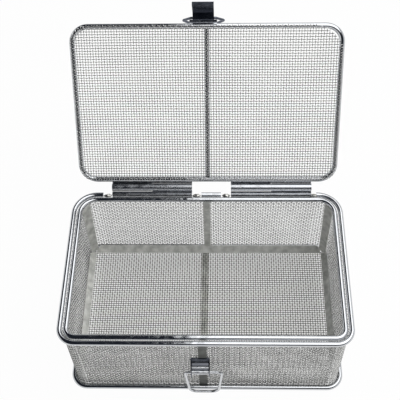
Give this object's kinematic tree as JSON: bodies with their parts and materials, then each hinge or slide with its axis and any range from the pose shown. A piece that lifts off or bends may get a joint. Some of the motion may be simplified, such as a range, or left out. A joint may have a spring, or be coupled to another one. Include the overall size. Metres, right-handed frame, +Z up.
{
  "type": "sterilization basket",
  "caption": "Rectangular woven-mesh basket with rod rim, hinged mesh lid, front wire catch and wire handle, for holding small instruments during steam sterilization.",
  "frame": {"origin": "on the ground under the middle of the basket floor, on the underside of the floor bar", "axes": "+Z up, -Y towards the front wall with the wire catch, +X to the right seen from the front, along the lid hinge axis"},
  "size_m": [0.251, 0.2631, 0.2535],
  "materials": {
    "polished_rod": "polished",
    "pressed_sheet": "gloss",
    "woven_mesh": "satin",
    "flat_strip": "satin"
  },
  "bodies": {
    "root": {"rim_inner_rod": "polished_rod", "rim_outer_rod": "polished_rod", "rim_outer_rod_back": "polished_rod", "bottom_rod": "polished_rod", "floor_bar": "flat_strip", "wall_mesh_front": "woven_mesh", "wall_mesh_back": "woven_mesh", "wall_mesh_left": "woven_mesh", "wall_mesh_right": "woven_mesh", "wall_mesh_corners": "woven_mesh", "floor_mesh": "woven_mesh", "corner_strip_back_right": "flat_strip", "corner_strip_back_left": "flat_strip", "corner_strip_front_left": "flat_strip", "corner_strip_front_right": "flat_strip", "wall_strip_back": "flat_strip", "floor_strip_front": "flat_strip", "floor_strip_right": "flat_strip", "floor_strip_back": "flat_strip", "floor_strip_left": "flat_strip", "latch_strap": "flat_strip", "latch_bracket": "pressed_sheet", "latch_cross_pin": "polished_rod", "latch_sleeve": "polished_rod", "hinge_leaf_basket_left": "pressed_sheet", "hinge_leaf_basket_right": "pressed_sheet", "hinge_pin_left": "pressed_sheet", "hinge_pin_right": "pressed_sheet"},
    "lid": {"lid_rod": "polished_rod", "lid_mesh": "woven_mesh", "lid_crossbar": "polished_rod", "hinge_leaf_lid_left": "pressed_sheet", "hinge_leaf_lid_right": "pressed_sheet", "clasp_base": "pressed_sheet", "clasp_plate": "pressed_sheet", "lid_bail_sleeve": "polished_rod"},
    "lid_bail": {"lid_bail": "polished_rod"},
    "latch_bail": {"latch_bail": "polished_rod"}
  },
  "joints": [
    {"name": "lid_hinge", "type": "hinge", "parent": "root", "child": "lid", "pos_m": [0, 0.08045, 0.10014], "axis": [1, 0, 0], "range_deg": [0, 121]},
    {"name": "lid_bail_swing", "type": "hinge", "parent": "lid", "child": "lid_bail", "pos_m": [-0.0018, 0.16394, 0.23232], "axis": [-1, 0, 0], "range_deg": [-97, 52]},
    {"name": "latch_bail_swing", "type": "hinge", "parent": "root", "child": "latch_bail", "pos_m": [-0.0018, -0.08139, 0.04938], "axis": [-1, 0, 0], "range_deg": [0, 168.7]}
  ]
}
